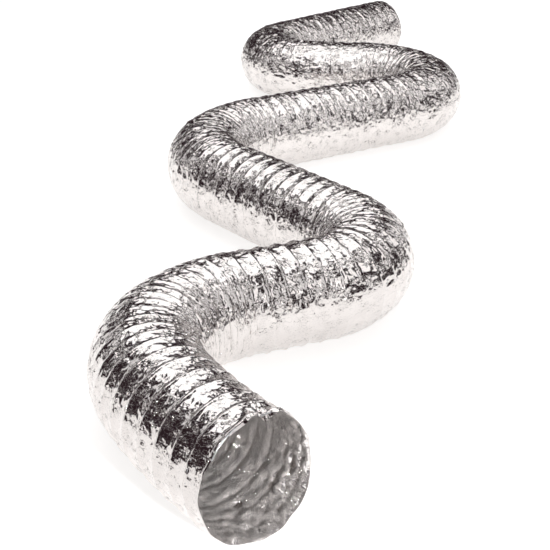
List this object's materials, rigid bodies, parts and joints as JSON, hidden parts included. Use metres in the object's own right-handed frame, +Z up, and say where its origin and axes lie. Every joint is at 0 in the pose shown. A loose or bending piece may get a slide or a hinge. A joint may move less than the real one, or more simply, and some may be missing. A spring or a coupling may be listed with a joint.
{
  "type": "flexible air duct",
  "caption": "Round flexible foil air duct with a spring wire helix between two foil tubes, laid in a zigzag; it bends, slides and lifts along its length.",
  "frame": {"origin": "on the floor, under the middle of the laid-out duct's bounding box", "axes": "+Z up; +Y from the near open mouth towards the far end; +X to the right seen from the near mouth"},
  "size_m": [0.4695, 1.6777, 0.1072],
  "materials": {
    "outer_foil": "bright crumpled aluminium foil laminate",
    "inner_foil": "duller crumpled foil laminate",
    "wire": "drawn spring steel wire"
  },
  "bodies": {
    "mouth": {"mouth_outer_foil": "outer_foil", "mouth_inner_foil": "inner_foil", "mouth_wire": "wire"},
    "run_1": {"run_1_outer_foil": "outer_foil", "run_1_inner_foil": "inner_foil", "run_1_wire": "wire"},
    "bend_1a": {"bend_1a_outer_foil": "outer_foil", "bend_1a_inner_foil": "inner_foil", "bend_1a_wire": "wire"},
    "bend_1b": {"bend_1b_outer_foil": "outer_foil", "bend_1b_inner_foil": "inner_foil", "bend_1b_wire": "wire"},
    "run_2": {"run_2_outer_foil": "outer_foil", "run_2_inner_foil": "inner_foil", "run_2_wire": "wire"},
    "bend_2a": {"bend_2a_outer_foil": "outer_foil", "bend_2a_inner_foil": "inner_foil", "bend_2a_wire": "wire"},
    "bend_2b": {"bend_2b_outer_foil": "outer_foil", "bend_2b_inner_foil": "inner_foil", "bend_2b_wire": "wire"},
    "run_3": {"run_3_outer_foil": "outer_foil", "run_3_inner_foil": "inner_foil", "run_3_wire": "wire"},
    "stretch_3": {"stretch_3_outer_foil": "outer_foil", "stretch_3_inner_foil": "inner_foil", "stretch_3_wire": "wire"},
    "bend_3a": {"bend_3a_outer_foil": "outer_foil", "bend_3a_inner_foil": "inner_foil", "bend_3a_wire": "wire"},
    "bend_3b": {"bend_3b_outer_foil": "outer_foil", "bend_3b_inner_foil": "inner_foil", "bend_3b_wire": "wire"},
    "run_4": {"run_4_outer_foil": "outer_foil", "run_4_inner_foil": "inner_foil", "run_4_wire": "wire"},
    "stretch_4": {"stretch_4_outer_foil": "outer_foil", "stretch_4_inner_foil": "inner_foil", "stretch_4_wire": "wire"},
    "bend_4a": {"bend_4a_outer_foil": "outer_foil", "bend_4a_inner_foil": "inner_foil", "bend_4a_wire": "wire"},
    "bend_4b": {"bend_4b_outer_foil": "outer_foil", "bend_4b_inner_foil": "inner_foil", "bend_4b_wire": "wire"},
    "run_5": {"run_5_outer_foil": "outer_foil", "run_5_inner_foil": "inner_foil", "run_5_wire": "wire"},
    "bend_5a": {"bend_5a_outer_foil": "outer_foil", "bend_5a_inner_foil": "inner_foil", "bend_5a_wire": "wire"},
    "bend_5b": {"bend_5b_outer_foil": "outer_foil", "bend_5b_inner_foil": "inner_foil", "bend_5b_wire": "wire"},
    "run_6": {"run_6_outer_foil": "outer_foil", "run_6_inner_foil": "inner_foil", "run_6_wire": "wire"},
    "stretch_6": {"stretch_6_outer_foil": "outer_foil", "stretch_6_inner_foil": "inner_foil", "stretch_6_wire": "wire"}
  },
  "joints": [
    {"name": "mouth_lift", "type": "hinge", "parent": "run_1", "child": "mouth", "pos_m": [-0.13369, -0.73597, 0.1072], "axis": [-0.8337, -0.5522, 0], "range_deg": [0, 45]},
    {"name": "bend_1_near", "type": "hinge", "parent": "run_1", "child": "bend_1a", "pos_m": [-0.17929, -0.64456, 0.0536], "axis": [0, 0, 1], "range_deg": [-5, 31.17], "deforming": ["bend_1a_outer_foil", "bend_1a_inner_foil", "bend_1a_wire"]},
    {"name": "bend_1_middle", "type": "hinge", "parent": "bend_1a", "child": "bend_1b", "pos_m": [-0.17421, -0.57813, 0.0536], "axis": [0, 0, 1], "range_deg": [-5, 31.17], "deforming": ["bend_1a_outer_foil", "bend_1a_inner_foil", "bend_1a_wire", "bend_1b_outer_foil", "bend_1b_inner_foil", "bend_1b_wire"]},
    {"name": "bend_1_far", "type": "hinge", "parent": "bend_1b", "child": "run_2", "pos_m": [-0.13549, -0.52391, 0.0536], "axis": [0, 0, 1], "range_deg": [-5, 31.17], "deforming": ["bend_1b_outer_foil", "bend_1b_inner_foil", "bend_1b_wire"]},
    {"name": "bend_2_near", "type": "hinge", "parent": "run_2", "child": "bend_2a", "pos_m": [-0.00256, -0.45696, 0.0536], "axis": [0, 0, -1], "range_deg": [-5, 35], "deforming": ["bend_2a_outer_foil", "bend_2a_inner_foil", "bend_2a_wire"]},
    {"name": "bend_2_middle", "type": "hinge", "parent": "bend_2a", "child": "bend_2b", "pos_m": [0.02715, -0.40886, 0.0536], "axis": [0, 0, -1], "range_deg": [-5, 35], "deforming": ["bend_2a_outer_foil", "bend_2a_inner_foil", "bend_2a_wire", "bend_2b_outer_foil", "bend_2b_inner_foil", "bend_2b_wire"]},
    {"name": "bend_2_far", "type": "hinge", "parent": "bend_2b", "child": "run_3", "pos_m": [0.02389, -0.35242, 0.0536], "axis": [0, 0, -1], "range_deg": [-5, 35], "deforming": ["bend_2b_outer_foil", "bend_2b_inner_foil", "bend_2b_wire"]},
    {"name": "bend_3_near", "type": "hinge", "parent": "stretch_3", "child": "bend_3a", "pos_m": [-0.14934, -0.11695, 0.0536], "axis": [0, 0, 1], "range_deg": [-5, 32.17], "deforming": ["stretch_3_outer_foil", "stretch_3_inner_foil", "stretch_3_wire", "bend_3a_outer_foil", "bend_3a_inner_foil", "bend_3a_wire"]},
    {"name": "bend_3_middle", "type": "hinge", "parent": "bend_3a", "child": "bend_3b", "pos_m": [-0.15787, -0.03762, 0.0536], "axis": [0, 0, 1], "range_deg": [-5, 32.17], "deforming": ["bend_3a_outer_foil", "bend_3a_inner_foil", "bend_3a_wire", "bend_3b_outer_foil", "bend_3b_inner_foil", "bend_3b_wire"]},
    {"name": "bend_3_far", "type": "hinge", "parent": "bend_3b", "child": "run_4", "pos_m": [-0.12285, 0.03407, 0.0536], "axis": [0, 0, 1], "range_deg": [-5, 32.17], "deforming": ["bend_3b_outer_foil", "bend_3b_inner_foil", "bend_3b_wire"]},
    {"name": "bend_4_near", "type": "hinge", "parent": "stretch_4", "child": "bend_4a", "pos_m": [0.16338, 0.2299, 0.0536], "axis": [0, 0, -1], "range_deg": [-5, 47.33], "deforming": ["stretch_4_outer_foil", "stretch_4_inner_foil", "stretch_4_wire", "bend_4a_outer_foil", "bend_4a_inner_foil", "bend_4a_wire"]},
    {"name": "bend_4_middle", "type": "hinge", "parent": "bend_4a", "child": "bend_4b", "pos_m": [0.18132, 0.32333, 0.0536], "axis": [0, 0, -1], "range_deg": [-5, 47.33], "deforming": ["bend_4a_outer_foil", "bend_4a_inner_foil", "bend_4a_wire", "bend_4b_outer_foil", "bend_4b_inner_foil", "bend_4b_wire"]},
    {"name": "bend_4_far", "type": "hinge", "parent": "bend_4b", "child": "run_5", "pos_m": [0.12477, 0.39984, 0.0536], "axis": [0, 0, -1], "range_deg": [-5, 47.33], "deforming": ["bend_4b_outer_foil", "bend_4b_inner_foil", "bend_4b_wire"]},
    {"name": "bend_5_near", "type": "hinge", "parent": "run_5", "child": "bend_5a", "pos_m": [-0.02138, 0.4328, 0.0536], "axis": [0, 0, 1], "range_deg": [-5, 42.67], "deforming": ["bend_5a_outer_foil", "bend_5a_inner_foil", "bend_5a_wire"]},
    {"name": "bend_5_middle", "type": "hinge", "parent": "bend_5a", "child": "bend_5b", "pos_m": [-0.07043, 0.48897, 0.0536], "axis": [0, 0, 1], "range_deg": [-5, 42.67], "deforming": ["bend_5a_outer_foil", "bend_5a_inner_foil", "bend_5a_wire", "bend_5b_outer_foil", "bend_5b_inner_foil", "bend_5b_wire"]},
    {"name": "bend_5_far", "type": "hinge", "parent": "bend_5b", "child": "run_6", "pos_m": [-0.06844, 0.56352, 0.0536], "axis": [0, 0, 1], "range_deg": [-5, 42.67], "deforming": ["bend_5b_outer_foil", "bend_5b_inner_foil", "bend_5b_wire"]},
    {"name": "run_3_slide", "type": "slide", "parent": "run_3", "child": "stretch_3", "axis": [-0.6198, 0.7848, 0], "range_m": [-0.06, 0.03], "deforming": ["stretch_3_outer_foil", "stretch_3_inner_foil", "stretch_3_wire"]},
    {"name": "run_4_slide", "type": "slide", "parent": "run_4", "child": "stretch_4", "axis": [0.8499, 0.527, 0], "range_m": [-0.06, 0.03], "deforming": ["stretch_4_outer_foil", "stretch_4_inner_foil", "stretch_4_wire"]},
    {"name": "run_6_slide", "type": "slide", "parent": "run_6", "child": "stretch_6", "axis": [0.6972, 0.7169, 0], "range_m": [-0.06, 0.03], "deforming": ["stretch_6_outer_foil", "stretch_6_inner_foil", "stretch_6_wire"]}
  ],
  "couplings": [
    {"joint": "bend_1_middle", "follows": "bend_1_near", "ratio": 1},
    {"joint": "bend_1_far", "follows": "bend_1_near", "ratio": 1},
    {"joint": "bend_2_middle", "follows": "bend_2_near", "ratio": 1},
    {"joint": "bend_2_far", "follows": "bend_2_near", "ratio": 1},
    {"joint": "bend_3_middle", "follows": "bend_3_near", "ratio": 1},
    {"joint": "bend_3_far", "follows": "bend_3_near", "ratio": 1},
    {"joint": "bend_4_middle", "follows": "bend_4_near", "ratio": 1},
    {"joint": "bend_4_far", "follows": "bend_4_near", "ratio": 1},
    {"joint": "bend_5_middle", "follows": "bend_5_near", "ratio": 1},
    {"joint": "bend_5_far", "follows": "bend_5_near", "ratio": 1}
  ]
}
